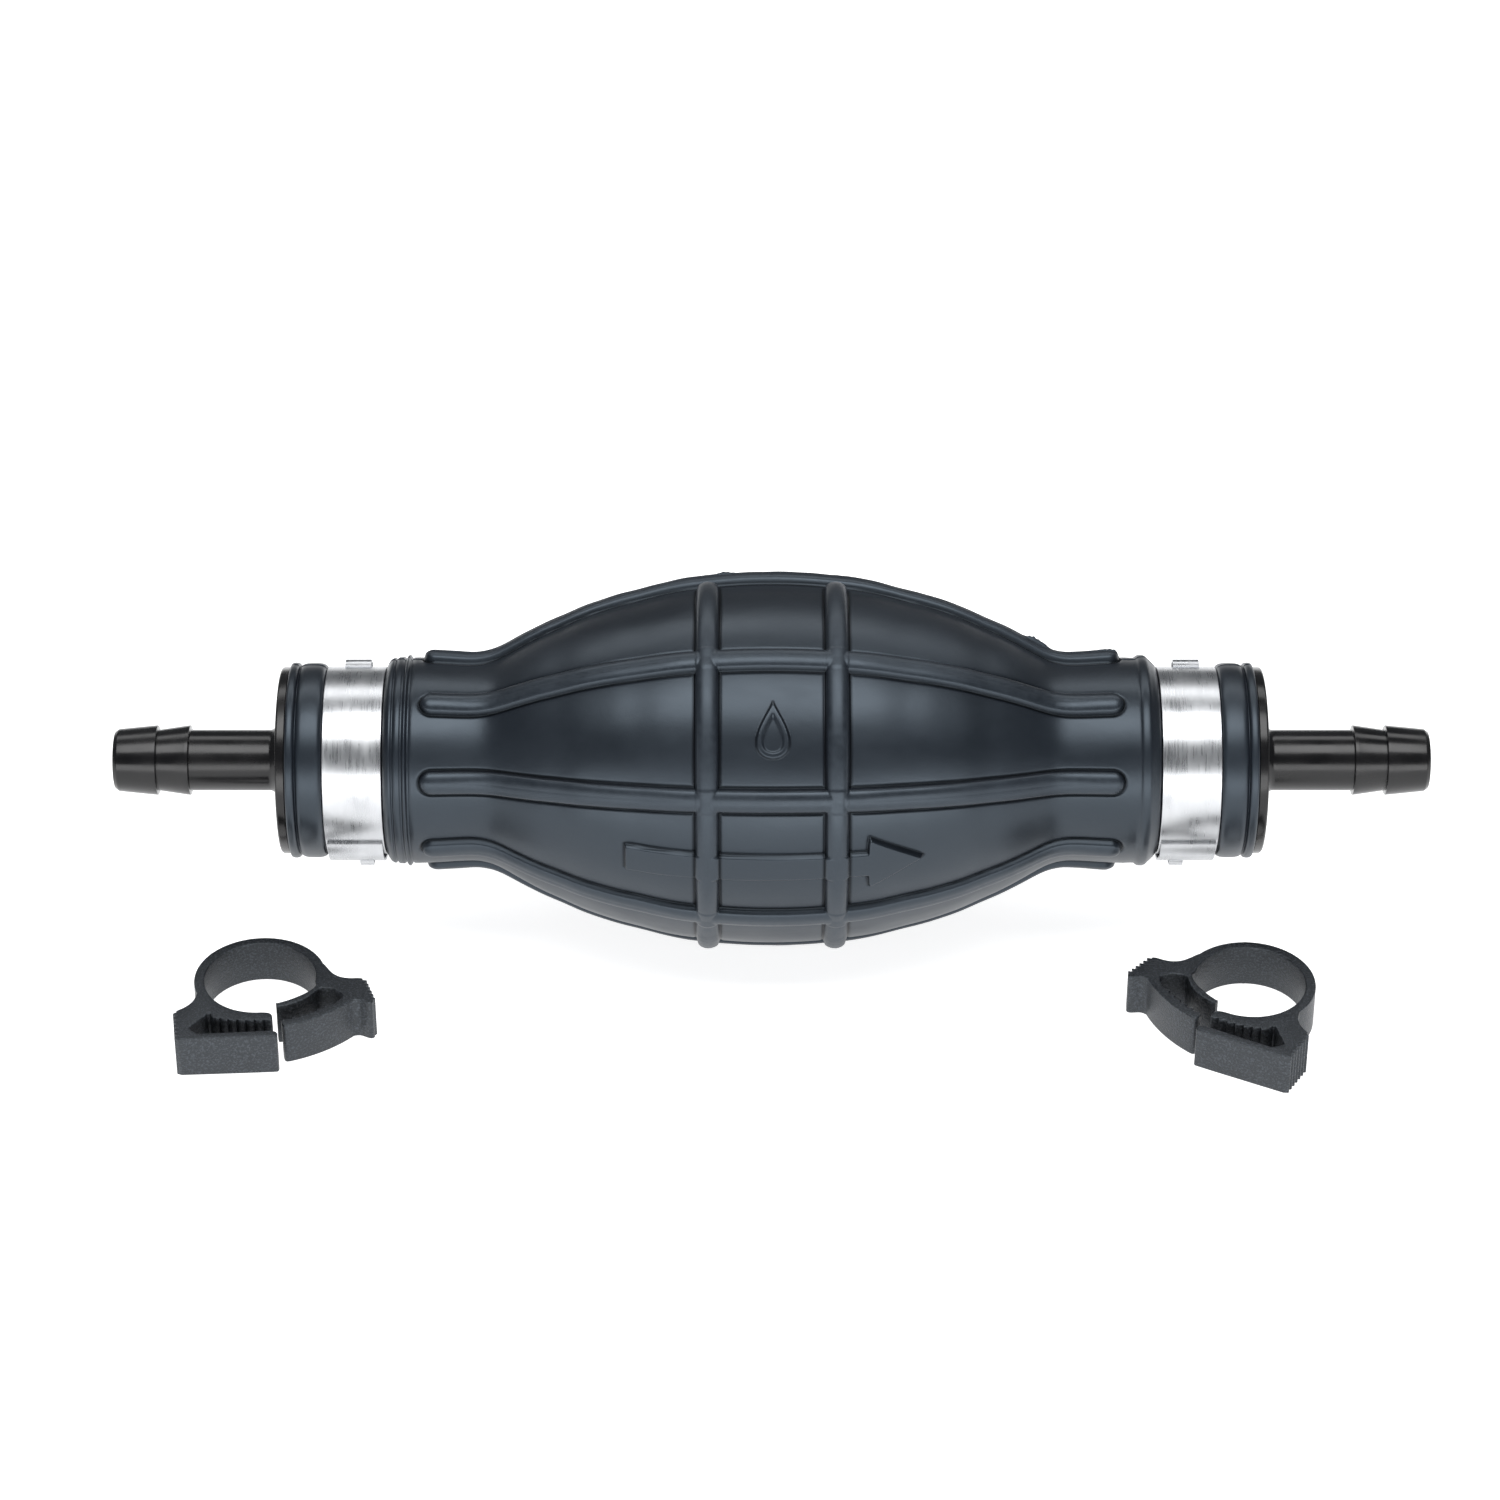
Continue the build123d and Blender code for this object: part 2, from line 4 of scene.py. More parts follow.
import bmesh
import bpy
import numpy as np
from mathutils import Matrix, Vector
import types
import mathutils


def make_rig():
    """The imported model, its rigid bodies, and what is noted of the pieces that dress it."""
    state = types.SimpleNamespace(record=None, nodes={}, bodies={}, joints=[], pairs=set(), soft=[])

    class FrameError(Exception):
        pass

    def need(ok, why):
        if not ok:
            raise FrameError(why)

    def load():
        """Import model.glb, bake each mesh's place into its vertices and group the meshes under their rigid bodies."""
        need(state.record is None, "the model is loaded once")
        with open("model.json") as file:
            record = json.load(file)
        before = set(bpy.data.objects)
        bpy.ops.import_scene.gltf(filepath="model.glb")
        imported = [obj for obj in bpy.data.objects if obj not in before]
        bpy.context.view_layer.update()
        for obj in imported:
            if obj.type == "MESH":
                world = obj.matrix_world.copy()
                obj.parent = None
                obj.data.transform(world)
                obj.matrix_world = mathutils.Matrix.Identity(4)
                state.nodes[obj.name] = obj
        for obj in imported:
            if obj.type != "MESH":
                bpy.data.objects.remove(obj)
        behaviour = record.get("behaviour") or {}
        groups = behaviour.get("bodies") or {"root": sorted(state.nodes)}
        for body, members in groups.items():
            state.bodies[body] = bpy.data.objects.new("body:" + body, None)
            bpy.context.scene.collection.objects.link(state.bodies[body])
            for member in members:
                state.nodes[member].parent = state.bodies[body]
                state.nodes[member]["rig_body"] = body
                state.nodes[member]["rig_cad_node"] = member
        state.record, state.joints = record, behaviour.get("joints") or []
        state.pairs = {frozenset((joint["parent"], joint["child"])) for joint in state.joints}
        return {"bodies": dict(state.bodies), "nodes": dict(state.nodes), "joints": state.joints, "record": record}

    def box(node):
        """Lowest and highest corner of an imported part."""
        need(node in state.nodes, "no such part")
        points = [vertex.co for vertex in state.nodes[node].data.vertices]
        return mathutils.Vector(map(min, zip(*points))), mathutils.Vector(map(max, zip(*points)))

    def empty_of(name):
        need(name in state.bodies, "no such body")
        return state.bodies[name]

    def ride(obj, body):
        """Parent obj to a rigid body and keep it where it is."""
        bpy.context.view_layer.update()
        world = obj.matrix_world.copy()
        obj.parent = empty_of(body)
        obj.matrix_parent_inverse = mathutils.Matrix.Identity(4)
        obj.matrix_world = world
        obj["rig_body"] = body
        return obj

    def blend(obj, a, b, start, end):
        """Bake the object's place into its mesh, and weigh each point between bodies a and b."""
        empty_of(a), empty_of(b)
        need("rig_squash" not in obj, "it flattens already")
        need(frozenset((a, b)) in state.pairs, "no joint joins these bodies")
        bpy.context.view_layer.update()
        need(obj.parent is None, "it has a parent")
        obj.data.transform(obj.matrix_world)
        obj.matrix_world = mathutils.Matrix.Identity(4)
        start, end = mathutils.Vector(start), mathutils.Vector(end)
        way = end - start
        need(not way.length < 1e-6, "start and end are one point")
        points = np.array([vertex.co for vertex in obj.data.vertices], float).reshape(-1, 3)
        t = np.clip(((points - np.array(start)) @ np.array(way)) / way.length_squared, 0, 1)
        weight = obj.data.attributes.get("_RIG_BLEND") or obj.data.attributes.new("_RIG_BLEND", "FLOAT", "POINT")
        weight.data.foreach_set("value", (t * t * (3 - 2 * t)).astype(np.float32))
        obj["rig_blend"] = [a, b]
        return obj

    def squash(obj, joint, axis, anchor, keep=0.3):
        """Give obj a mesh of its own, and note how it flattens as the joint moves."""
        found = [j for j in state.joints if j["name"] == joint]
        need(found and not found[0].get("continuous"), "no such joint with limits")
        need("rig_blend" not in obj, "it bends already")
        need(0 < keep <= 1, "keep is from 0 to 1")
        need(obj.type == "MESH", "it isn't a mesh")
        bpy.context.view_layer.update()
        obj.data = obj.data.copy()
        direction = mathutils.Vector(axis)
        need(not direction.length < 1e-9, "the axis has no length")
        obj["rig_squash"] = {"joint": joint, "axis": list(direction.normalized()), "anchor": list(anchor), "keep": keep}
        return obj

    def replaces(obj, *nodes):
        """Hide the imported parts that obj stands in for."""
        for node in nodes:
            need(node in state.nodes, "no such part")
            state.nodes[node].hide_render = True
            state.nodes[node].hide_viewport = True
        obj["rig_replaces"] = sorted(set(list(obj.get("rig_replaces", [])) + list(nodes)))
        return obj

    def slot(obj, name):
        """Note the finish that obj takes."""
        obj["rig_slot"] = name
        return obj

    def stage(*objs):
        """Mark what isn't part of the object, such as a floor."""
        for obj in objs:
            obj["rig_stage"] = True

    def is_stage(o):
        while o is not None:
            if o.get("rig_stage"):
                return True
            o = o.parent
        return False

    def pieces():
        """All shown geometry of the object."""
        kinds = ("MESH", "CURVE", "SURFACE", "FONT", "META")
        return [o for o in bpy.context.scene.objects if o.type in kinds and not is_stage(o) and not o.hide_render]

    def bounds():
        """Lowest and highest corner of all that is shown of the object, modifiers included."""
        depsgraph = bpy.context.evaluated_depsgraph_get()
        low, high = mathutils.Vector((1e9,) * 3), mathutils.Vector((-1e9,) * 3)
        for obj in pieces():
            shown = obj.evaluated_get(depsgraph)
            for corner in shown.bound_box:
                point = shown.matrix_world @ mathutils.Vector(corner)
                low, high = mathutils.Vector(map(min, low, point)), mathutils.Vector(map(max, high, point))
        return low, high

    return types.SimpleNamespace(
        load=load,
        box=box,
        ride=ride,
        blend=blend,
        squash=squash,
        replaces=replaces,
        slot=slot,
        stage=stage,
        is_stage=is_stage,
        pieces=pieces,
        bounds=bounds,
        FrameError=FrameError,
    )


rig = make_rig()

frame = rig.load()
cad_lo, cad_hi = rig.bounds()
cad_lo, cad_hi = [float(v) for v in cad_lo], [float(v) for v in cad_hi]
nodes = frame["nodes"]
MM = 0.001

# the pump's axis, from the end fitting, which is a solid of revolution
_lo, _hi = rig.box("outlet_fitting")
PY = (_lo.y + _hi.y) / 2 / MM
PZ = (_lo.z + _hi.z) / 2 / MM
TIP = _hi.x / MM


# ================================================================ small tools
def new_object(name, verts, faces, smooth=True):
    me = bpy.data.meshes.new(name)
    me.from_pydata([tuple(v) for v in verts], [], [tuple(f) for f in faces])
    me.update()
    if smooth:
        me.shade_smooth()
    ob = bpy.data.objects.new(name, me)
    bpy.context.scene.collection.objects.link(ob)
    return ob


def sharp_by_angle(ob, degrees):
    ob.data.shade_smooth()
    ob.data.set_sharp_from_angle(angle=math.radians(degrees))


def smoothstep(t):
    t = np.clip(t, 0, 1)
    return t * t * (3 - 2 * t)


def rounded(points, radii, n=4):
    """A closed outline with its corners rounded; radii is one number or a list, one for each point."""
    m = len(points)
    if not hasattr(radii, "__len__"):
        radii = [radii] * m
    out = []
    for i in range(m):
        p, a, b = np.array(points[i], float), np.array(points[i - 1], float), np.array(points[(i + 1) % m], float)
        u, v = a - p, b - p
        lu, lv = np.linalg.norm(u), np.linalg.norm(v)
        r = radii[i]
        if r <= 0 or lu < 1e-9 or lv < 1e-9:
            out.append(tuple(p))
            continue
        u, v = u / lu, v / lv
        half = math.acos(max(-1, min(1, float(u @ v)))) / 2
        if half > math.pi / 2 - 0.03:
            out.append(tuple(p))
            continue
        cut = min(r / math.tan(half), 0.48 * lu, 0.48 * lv)
        r = cut * math.tan(half)
        c = p + (u + v) / np.linalg.norm(u + v) * (r / math.sin(half))
        s, e = p + u * cut - c, p + v * cut - c
        turn = math.atan2(s[0] * e[1] - s[1] * e[0], float(s @ e))
        for k in range(n + 1):
            t = turn * k / n
            q = (s[0] * math.cos(t) - s[1] * math.sin(t), s[0] * math.sin(t) + s[1] * math.cos(t))
            out.append((c[0] + q[0], c[1] + q[1]))
    return out


def lathe(name, outline, seg=128, wobble=None):
    """A closed outline of (x, r), in mm, turned about the pump's axis."""
    m = len(outline)
    verts, faces = [], []
    for k in range(seg):
        a = 2 * math.pi * k / seg
        for x, r in outline:
            verts.append((x * MM, (PY + r * math.cos(a)) * MM, (PZ + r * math.sin(a)) * MM))
    for k in range(seg):
        j = (k + 1) % seg
        for i in range(m):
            h = (i + 1) % m
            faces.append((k * m + i, j * m + i, j * m + h, k * m + h))
    ob = new_object(name, verts, faces)
    fix_normals(ob)
    return ob


def fix_normals(ob):
    bm = bmesh.new()
    bm.from_mesh(ob.data)
    bmesh.ops.recalc_face_normals(bm, faces=bm.faces)
    bm.to_mesh(ob.data)
    bm.free()


def hoop_strip(name, x0, x1, angles, centre_r, thick, edge=0.07):
    """A strip bent round the pump's axis: its middle line runs at centre_r(angle), in mm, with rounded edges."""
    section = rounded([(x0, -thick / 2), (x1, -thick / 2), (x1, thick / 2), (x0, thick / 2)], edge, 3)
    m = len(section)
    line = [np.array((math.cos(math.radians(a)) * centre_r(a), math.sin(math.radians(a)) * centre_r(a))) for a in angles]
    verts, faces = [], []
    for i, p in enumerate(line):
        q, s = line[max(i - 1, 0)], line[min(i + 1, len(line) - 1)]
        t = (s - q) / np.linalg.norm(s - q)
        out = np.array((t[1], -t[0]))
        for x, h in section:
            w = p + out * h
            verts.append((x * MM, (PY + w[0]) * MM, (PZ + w[1]) * MM))
    n = len(line)
    for i in range(n - 1):
        for k in range(m):
            j = (k + 1) % m
            faces.append((i * m + k, i * m + j, (i + 1) * m + j, (i + 1) * m + k))
    faces.append(tuple(range(m)))
    faces.append(tuple(range((n - 1) * m, n * m)))
    ob = new_object(name, verts, faces)
    fix_normals(ob)
    sharp_by_angle(ob, 50)
    return ob


# ================================================================ materials
class Nodes:
    """A short way to write a node tree."""

    def __init__(self, name):
        self.m = bpy.data.materials.new(name)
        self.m.use_nodes = True
        self.t = self.m.node_tree
        self.bsdf = self.t.nodes["Principled BSDF"]
        self.coord = self.t.nodes.new("ShaderNodeTexCoord")

    def node(self, kind, **settings):
        n = self.t.nodes.new(kind)
        for k, v in settings.items():
            if k.startswith("in_"):
                n.inputs[k[3:].replace("_", " ")].default_value = v
            else:
                setattr(n, k, v)
        return n

    def link(self, a, b):
        self.t.links.new(a, b)

    def mapping(self, scale=(1, 1, 1), rotation=(0, 0, 0), location=(0, 0, 0)):
        n = self.t.nodes.new("ShaderNodeMapping")
        n.inputs["Scale"].default_value = scale
        n.inputs["Rotation"].default_value = rotation
        n.inputs["Location"].default_value = location
        self.link(self.coord.outputs["Object"], n.inputs["Vector"])
        return n.outputs["Vector"]

    def noise(self, scale, detail=4.0, rough=0.55, vector=None, distortion=0.0):
        n = self.t.nodes.new("ShaderNodeTexNoise")
        n.inputs["Scale"].default_value = scale
        n.inputs["Detail"].default_value = detail
        n.inputs["Roughness"].default_value = rough
        n.inputs["Distortion"].default_value = distortion
        self.link(vector if vector is not None else self.coord.outputs["Object"], n.inputs["Vector"])
        return n.outputs["Fac"]

    def ramp(self, value, stops):
        n = self.t.nodes.new("ShaderNodeValToRGB")
        e = n.color_ramp.elements
        while len(e) < len(stops):
            e.new(0.5)
        for k, (at, colour) in enumerate(stops):
            e[k].position = at
            c = colour if hasattr(colour, "__len__") else (colour, colour, colour)
            e[k].color = (*c, 1)
        self.link(value, n.inputs["Fac"])
        return n.outputs["Color"]

    def remap(self, value, a, b, c, d):
        n = self.t.nodes.new("ShaderNodeMapRange")
        for k, v in zip(("From Min", "From Max", "To Min", "To Max"), (a, b, c, d)):
            n.inputs[k].default_value = v
        self.link(value, n.inputs["Value"])
        return n.outputs["Result"]

    def math(self, op, a, b):
        n = self.t.nodes.new("ShaderNodeMath")
        n.operation = op
        for k, v in enumerate((a, b)):
            if isinstance(v, (int, float)):
                n.inputs[k].default_value = v
            else:
                self.link(v, n.inputs[k])
        return n.outputs["Value"]

    def mix(self, fac, a, b):
        n = self.t.nodes.new("ShaderNodeMix")
        n.data_type = "RGBA"
        if isinstance(fac, (int, float)):
            n.inputs["Factor"].default_value = fac
        else:
            self.link(fac, n.inputs["Factor"])
        for k, v in (("A", a), ("B", b)):
            s = [i for i in n.inputs if i.name == k and i.type == "RGBA"][0]
            if isinstance(v, tuple):
                s.default_value = (*v, 1)
            else:
                self.link(v, s)
        return [o for o in n.outputs if o.type == "RGBA"][0]

    def attribute(self, name):
        n = self.t.nodes.new("ShaderNodeAttribute")
        n.attribute_name = name
        return n.outputs["Fac"]

    def bump(self, heights):
        """heights: (height value, distance in mm, strength), one on top of the other."""
        last = None
        for value, distance, strength in heights:
            n = self.t.nodes.new("ShaderNodeBump")
            n.inputs["Distance"].default_value = distance * MM
            n.inputs["Strength"].default_value = strength
            self.link(value, n.inputs["Height"])
            if last is not None:
                self.link(last, n.inputs["Normal"])
            last = n.outputs["Normal"]
        self.link(last, self.bsdf.inputs["Normal"])

    def set(self, **values):
        for k, v in values.items():
            self.bsdf.inputs[k.replace("_", " ")].default_value = v


def bulb_rubber():
    n = Nodes("bulb_rubber")
    cloud = n.noise(48, 5, 0.6)
    smear = n.noise(130, 4, 0.6, n.mapping(scale=(0.35, 1, 1)), distortion=0.4)
    fine = n.noise(900, 4, 0.6)
    grain = n.noise(4200, 2, 0.5)
    base = n.ramp(cloud, [(0.25, (0.0035, 0.0048, 0.0072)), (0.55, (0.0055, 0.0072, 0.0105)), (0.8, (0.0085, 0.0112, 0.0160))])
    ridge = n.attribute("ridge")
    # a lighter, patchy colour over the ribs and rings, strongest on their crests
    crest_lightening = n.math("MULTIPLY", ridge, n.remap(fine, 0.3, 0.75, 0.15, 0.65))
    colour = n.mix(crest_lightening, base, (0.016, 0.0195, 0.025))
    # painted shade: the creases at the feet of the ribs, rings, arrow and drop are darkened nearly to black, and their
    # reflection is turned down
    crease_and_painted_shade = n.attribute("crease_and_painted_shade")
    colour = n.mix(crease_and_painted_shade, colour, (0.0012, 0.0014, 0.0018))
    n.link(colour, n.bsdf.inputs["Base Color"])
    n.link(n.remap(crease_and_painted_shade, 0.0, 1.0, 0.62, 0.12), n.bsdf.inputs["Specular IOR Level"])
    rough = n.math("ADD", n.remap(cloud, 0.25, 0.8, 0.30, 0.44), n.remap(smear, 0.3, 0.7, -0.045, 0.055))
    rough = n.math("ADD", rough, n.math("MULTIPLY", ridge, n.remap(fine, 0.3, 0.7, 0.0, 0.10)))
    n.link(rough, n.bsdf.inputs["Roughness"])
    n.bump([(cloud, 0.22, 0.22), (fine, 0.025, 0.35), (grain, 0.012, 0.45)])
    n.set(IOR=1.5, Specular_Tint=(0.72, 0.86, 1.0, 1.0))
    return n.m


def fitting_plastic():
    n = Nodes("fitting_plastic")
    cloud = n.noise(160, 3, 0.5)
    streak = n.noise(700, 3, 0.5, n.mapping(scale=(0.06, 1, 1)))
    base = n.ramp(cloud, [(0.3, (0.0025, 0.0025, 0.0030)), (0.75, (0.0055, 0.0052, 0.0058))])
    n.link(base, n.bsdf.inputs["Base Color"])
    n.link(n.math("ADD", n.remap(cloud, 0.3, 0.7, 0.17, 0.27), n.remap(streak, 0.3, 0.7, -0.03, 0.05)), n.bsdf.inputs["Roughness"])
    n.bump([(cloud, 0.06, 0.12), (streak, 0.01, 0.2)])
    n.set(Specular_IOR_Level=0.42, IOR=1.48)
    return n.m


def band_steel():
    n = Nodes("band_steel")
    n.set(Metallic=1.0)
    patch = n.noise(260, 3, 0.55, n.mapping(scale=(1, 0.45, 0.45)))
    lines = n.noise(5200, 2, 0.5, n.mapping(scale=(1, 0.04, 0.04)))
    fine = n.noise(1500, 4, 0.6)
    n.link(n.ramp(patch, [(0.3, (0.44, 0.45, 0.465)), (0.7, (0.56, 0.57, 0.585))]), n.bsdf.inputs["Base Color"])
    n.link(n.math("ADD", n.remap(patch, 0.3, 0.7, 0.24, 0.34), n.remap(lines, 0.3, 0.7, -0.03, 0.06)), n.bsdf.inputs["Roughness"])
    n.bump([(patch, 0.05, 0.25), (lines, 0.006, 0.3), (fine, 0.006, 0.25)])
    return n.m


def clip_nylon():
    n = Nodes("clip_nylon")
    cloud = n.noise(190, 4, 0.6)
    grain = n.noise(3000, 3, 0.6)
    speck = n.noise(4600, 2, 0.6)
    base = n.mix(n.remap(grain, 0.50, 0.63, 0.0, 1.0), n.ramp(cloud, [(0.3, (0.0030, 0.0034, 0.0042)), (0.75, (0.0055, 0.0062, 0.0074))]), (0.033, 0.037, 0.044))
    n.link(base, n.bsdf.inputs["Base Color"])
    n.link(n.remap(grain, 0.3, 0.7, 0.32, 0.54), n.bsdf.inputs["Roughness"])
    n.bump([(grain, 0.15, 0.8), (speck, 0.05, 0.6)])
    n.set(Specular_IOR_Level=0.55, IOR=1.5, Specular_Tint=(0.84, 0.92, 1.0, 1.0))
    return n.m


def valve_plastic():
    n = Nodes("valve_plastic")
    cloud = n.noise(240, 3, 0.5)
    fine = n.noise(2500, 3, 0.6)
    n.link(n.ramp(cloud, [(0.3, (0.68, 0.66, 0.60)), (0.7, (0.76, 0.74, 0.69))]), n.bsdf.inputs["Base Color"])
    n.link(n.remap(fine, 0.3, 0.7, 0.32, 0.46), n.bsdf.inputs["Roughness"])
    n.bump([(fine, 0.01, 0.3)])
    n.set(Subsurface_Weight=0.1)
    return n.m


def seal_rubber():
    n = Nodes("seal_rubber")
    fine = n.noise(1800, 3, 0.6)
    n.link(n.ramp(fine, [(0.3, (0.010, 0.010, 0.011)), (0.7, (0.020, 0.020, 0.021))]), n.bsdf.inputs["Base Color"])
    n.link(n.remap(fine, 0.3, 0.7, 0.42, 0.58), n.bsdf.inputs["Roughness"])
    n.bump([(fine, 0.01, 0.3)])
    return n.m


def spring_steel():
    n = Nodes("spring_steel")
    n.set(Metallic=1.0)
    fine = n.noise(3000, 3, 0.6)
    n.link(n.ramp(fine, [(0.3, (0.50, 0.50, 0.52)), (0.7, (0.66, 0.66, 0.68))]), n.bsdf.inputs["Base Color"])
    n.link(n.remap(fine, 0.3, 0.7, 0.22, 0.36), n.bsdf.inputs["Roughness"])
    n.bump([(fine, 0.004, 0.3)])
    return n.m


MATERIALS = {
    "bulb_rubber": bulb_rubber(),
    "fitting_plastic": fitting_plastic(),
    "band_steel": band_steel(),
    "clip_nylon": clip_nylon(),
    "valve_plastic": valve_plastic(),
    "seal_rubber": seal_rubber(),
    "spring_steel": spring_steel(),
}


def finish_piece(ob, slot, body=None, replaces=()):
    ob.data.materials.clear()
    ob.data.materials.append(MATERIALS[slot])
    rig.slot(ob, slot)
    if body:
        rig.ride(ob, body)
    if replaces:
        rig.replaces(ob, *replaces)
    return ob


slot_of = {s["node"]: s["material_slot"] for s in frame["record"]["subparts"]}
for name, ob in nodes.items():
    ob.data.materials.clear()
    ob.data.materials.append(MATERIALS[slot_of[name]])

# ================================================================ the moulded bulb
PANEL = np.array([(0.0, 27.87), (4.0, 27.78), (8.0, 27.5), (11.0, 27.2), (14.0, 26.8), (17.0, 26.2), (20.0, 25.4), (23.3, 24.55), (26.3, 23.6), (29.3, 22.48), (32.0, 21.25), (34.6, 20.1), (37.1, 18.85), (39.2, 17.7), (41.0, 16.7), (42.4, 16.05), (43.6, 15.68), (45.0, 15.45), (46.4, 15.42), (48.3, 15.5), (50.2, 15.62), (52.0, 15.72), (54.0, 15.8)])
CAVITY = np.array([(0.0, 24.6), (8.0, 24.25), (14.0, 23.5), (20.0, 22.1), (26.3, 20.2), (32.0, 17.8), (37.1, 15.2), (41.0, 13.0), (45.5, 11.4), (50.0, 11.02), (73.5, 11.02)])
INLET_NECK = [(54.0, 15.8), (54.7, 15.78), (54.9, 15.5), (55.08, 15.8), (55.25, 16.12), (55.4, 16.18), (55.55, 16.1), (55.72, 15.8), (55.9, 15.5), (56.1, 15.78), (56.3, 15.86), (57.0, 15.82), (57.15, 15.62), (57.28, 15.42), (57.42, 15.62), (57.6, 15.76), (57.8, 15.72), (58.15, 15.5), (58.45, 15.1), (58.7, 14.55), (58.85, 13.95), (58.9, 13.66)]
OUTLET_NECK = [(54.0, 15.8), (55.0, 15.75), (55.5, 15.76), (55.75, 15.95), (56.0, 16.12), (56.4, 16.18), (56.9, 16.16), (57.2, 16.0), (57.45, 15.74), (57.7, 15.5), (58.05, 15.2), (58.4, 14.85), (58.7, 14.4), (58.85, 13.9), (58.9, 13.66)]
COLLAR = [(67.9, 13.66), (67.92, 14.0), (68.02, 14.35), (68.3, 14.66), (68.7, 14.84), (69.3, 14.93), (70.2, 14.94), (71.0, 14.9), (71.5, 14.8), (71.8, 14.62), (71.95, 14.35), (72.02, 14.18), (72.1, 14.4), (72.2, 14.72), (72.4, 14.92), (72.8, 15.0), (73.2, 14.97), (73.42, 14.85), (73.5, 14.65)]


def spline(points, x):
    """A smooth curve through symmetric points: natural cubic in numpy."""
    xs = np.concatenate([-points[:0:-1, 0], points[:, 0]])
    ys = np.concatenate([points[:0:-1, 1], points[:, 1]])
    n = len(xs)
    h = np.diff(xs)
    A = np.zeros((n, n))
    b = np.zeros(n)
    A[0, 0] = A[-1, -1] = 1
    for i in range(1, n - 1):
        A[i, i - 1], A[i, i], A[i, i + 1] = h[i - 1], 2 * (h[i - 1] + h[i]), h[i]
        b[i] = 6 * ((ys[i + 1] - ys[i]) / h[i] - (ys[i] - ys[i - 1]) / h[i - 1])
    m = np.linalg.solve(A, b)
    i = np.clip(np.searchsorted(xs, x) - 1, 0, n - 2)
    t = x - xs[i]
    return ys[i] + t * ((ys[i + 1] - ys[i]) / h[i] - h[i] * (2 * m[i] + m[i + 1]) / 6) + m[i] / 2 * t**2 + (m[i + 1] - m[i]) / (6 * h[i]) * t**3


def base_radius(x):
    """The outside of the bulb without its ribs, at stations x in mm."""
    left = [(-a, r) for a, r in reversed(INLET_NECK)]
    table = [(-a, r) for a, r in reversed(COLLAR)] + left
    lx, lr = np.array([p[0] for p in table]), np.array([p[1] for p in table])
    right = OUTLET_NECK + COLLAR
    rx, rr = np.array([p[0] for p in right]), np.array([p[1] for p in right])
    mid = spline(PANEL, np.clip(x, -54, 54))
    return np.where(x < -54, np.interp(x, lx, lr), np.where(x > 54, np.interp(x, rx, rr), mid))


RING_X = 9.7
RING_W = 1.86
RING_CREST = 28.8
RIB_H = 1.32
RIB_W = 1.98
RIB_END = 53.2


def half_round(s, w):
    """Height share of a moulded half-round rib at distance s from its middle, with a small fillet at its root."""
    u = np.clip(np.abs(s) / w, 0, 1)
    body = np.sqrt(np.clip(1 - u**2, 0, 1))
    foot = np.clip((1 - u) / 0.22, 0, 1)
    return body * (0.35 + 0.65 * smoothstep(foot)) * smoothstep(np.clip((1 - u) / 0.06, 0, 1))


def angle_stations():
    """Angles round the bulb in degrees from +Y, closer together on the ribs and on the embossed panels."""
    out = []
    for k in range(8):
        rib = 22.5 + 45 * k
        out += list(np.arange(-6.6, 6.6, 0.33) + rib)
        panel_mid = rib + 22.5
        fine = min(abs((panel_mid - c + 180) % 360 - 180) for c in (180.0, 135.0)) < 1
        n = 96 if fine else 26
        out += list(rib + 6.6 + (45 - 13.2) * np.arange(n) / n)
    return np.radians(np.array(sorted(a % 360 for a in out)))


def x_stations():
    out = [-73.5, 73.5]
    for s in (-1, 1):
        out += list(s * np.array([p[0] for p in (INLET_NECK if s < 0 else OUTLET_NECK)]))
        out += list(s * np.array([p[0] for p in COLLAR]))
        out += list(s * np.linspace(50.9, 54.0, 22))
        out += list(s * np.linspace(59.3, 67.6, 8))
        out += list(s * RING_X + np.linspace(-2.1, 2.1, 29))
        out += list(s * np.linspace(12.0, 24.0, 72))
        out += list(s * np.linspace(24.3, 50.6, 76))
    out += list(np.linspace(-7.5, 7.5, 84))
    x = np.array(sorted(out))
    keep = [x[0]]
    for v in x[1:]:
        if v - keep[-1] > 0.035:
            keep.append(v)
    return np.array(keep)


def inside_polygon(px, py, poly):
    """Signed distance from points to a polygon: positive inside."""
    poly = np.array(poly, float)
    n = len(poly)
    inside = np.zeros(px.shape, bool)
    best = np.full(px.shape, 1e9)
    for i in range(n):
        a, b = poly[i], poly[(i + 1) % n]
        cond = (a[1] > py) != (b[1] > py)
        with np.errstate(divide="ignore", invalid="ignore"):
            xi = (b[0] - a[0]) * (py - a[1]) / (b[1] - a[1] + 1e-12) + a[0]
        inside ^= cond & (px < xi)
        d = b - a
        t = np.clip(((px - a[0]) * d[0] + (py - a[1]) * d[1]) / (d @ d), 0, 1)
        best = np.minimum(best, np.hypot(px - a[0] - t * d[0], py - a[1] - t * d[1]))
    return np.where(inside, best, -best)


